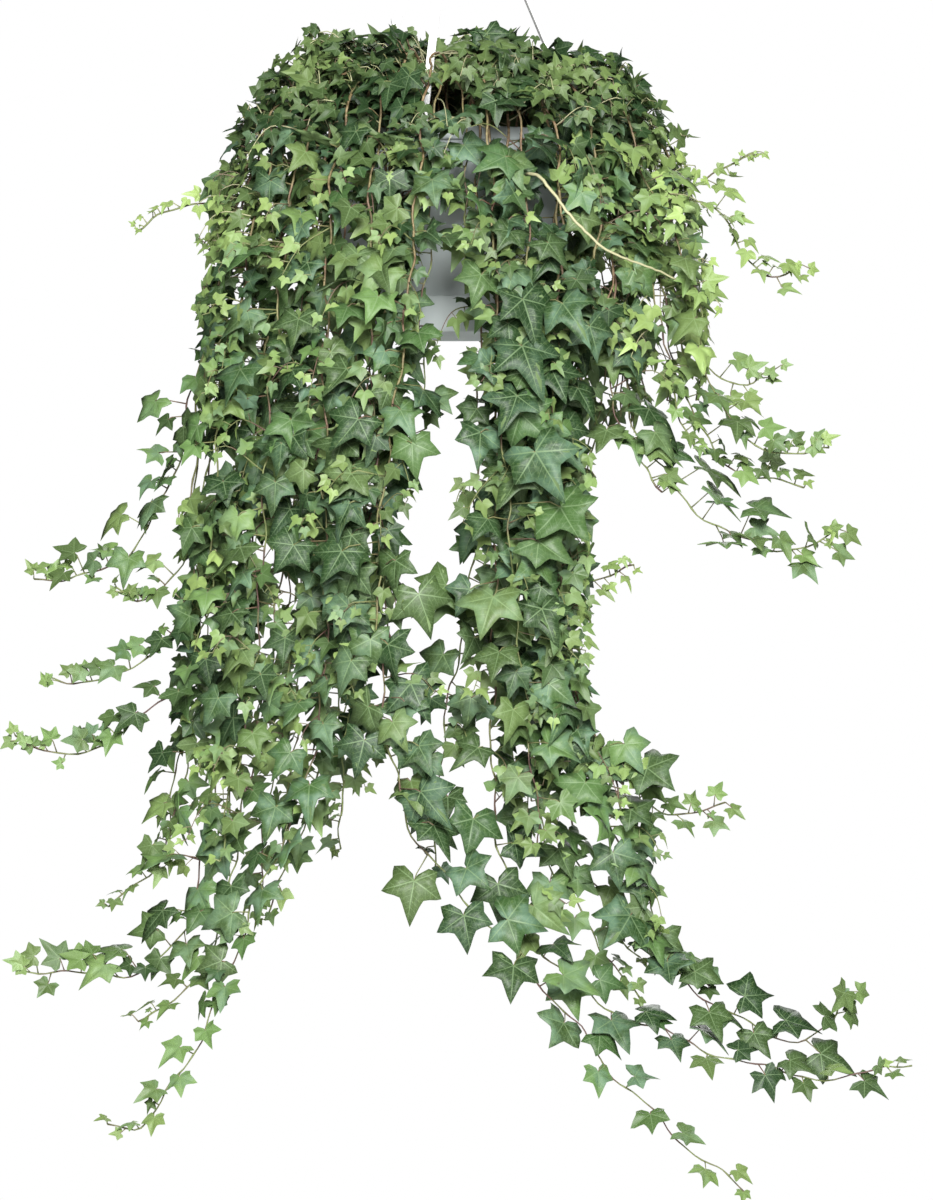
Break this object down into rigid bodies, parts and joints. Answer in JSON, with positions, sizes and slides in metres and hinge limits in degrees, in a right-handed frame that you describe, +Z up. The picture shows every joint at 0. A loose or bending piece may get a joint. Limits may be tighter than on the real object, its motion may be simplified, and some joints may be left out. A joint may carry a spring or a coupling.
{
  "type": "potted english ivy",
  "caption": "Hanging pot of trailing lobed ivy: a round plastic pot with a clip-on saucer, soil, straps and a hook, and long leafy runners that hang on all sides.",
  "frame": {"origin": "the seat inside the hook's crook, which the whole plant hangs from", "axes": "+Z up along the line of hang and the pot's axis, -Y towards the viewer of the picture, +X to the viewer's right"},
  "size_m": [0.8225, 0.5109, 1.2565],
  "materials": {
    "pot_plastic": "satin moulded plastic, light blue-grey",
    "hanger_plastic": "satin moulded plastic, white",
    "soil": "crumbly damp potting mix, dark brown",
    "ivy_leaf": "waxy dark green leaf with pale veins",
    "ivy_young": "softer yellow-green young leaf"
  },
  "bodies": {
    "root": {"pot": "pot_plastic", "saucer": "pot_plastic", "soil": "soil", "hook": "hanger_plastic", "strap_1": "hanger_plastic", "strap_2": "hanger_plastic", "strap_3": "hanger_plastic", "left_twig": "ivy_young", "left_sweep_1": "ivy_leaf", "left_sweep_2": "ivy_leaf", "left_sweep_3": "ivy_leaf", "left_sweep_4": "ivy_leaf", "left_edge": "ivy_leaf", "left_tail_1": "ivy_leaf", "left_tail_2": "ivy_leaf", "left_tail_3": "ivy_leaf", "left_tail_4": "ivy_leaf", "left_tail_5": "ivy_leaf", "left_fall_1": "ivy_leaf", "left_fall_2": "ivy_leaf", "left_fall_3": "ivy_leaf", "left_fall_4": "ivy_leaf", "left_fall_5": "ivy_leaf", "left_fall_6": "ivy_leaf", "front_tail_1": "ivy_leaf", "front_short": "ivy_leaf", "front_tail_2": "ivy_leaf", "front_tail_3": "ivy_leaf", "front_tail_4": "ivy_leaf", "front_fall_1": "ivy_leaf", "front_fall_2": "ivy_leaf", "front_fall_3": "ivy_leaf", "front_fall_4": "ivy_leaf", "front_spray": "ivy_leaf", "right_twig_1": "ivy_young", "right_twig_2": "ivy_young", "right_sweep_1": "ivy_leaf", "right_sweep_2": "ivy_leaf", "right_sweep_3": "ivy_leaf", "right_sweep_4": "ivy_leaf", "right_sprig": "ivy_young", "right_fall_1": "ivy_leaf", "right_fall_2": "ivy_leaf", "right_fall_3": "ivy_leaf", "right_fall_4": "ivy_leaf", "back_right_1": "ivy_leaf", "back_right_2": "ivy_leaf", "back_right_3": "ivy_leaf", "back_right_4": "ivy_leaf", "back_middle_1": "ivy_leaf", "back_middle_2": "ivy_leaf", "back_left_1": "ivy_leaf", "back_left_2": "ivy_leaf", "back_left_3": "ivy_leaf", "back_left_4": "ivy_leaf", "back_left_5": "ivy_leaf", "crown_shoot_1": "ivy_leaf", "crown_shoot_2": "ivy_leaf", "crown_shoot_3": "ivy_leaf"}
  },
  "joints": []
}
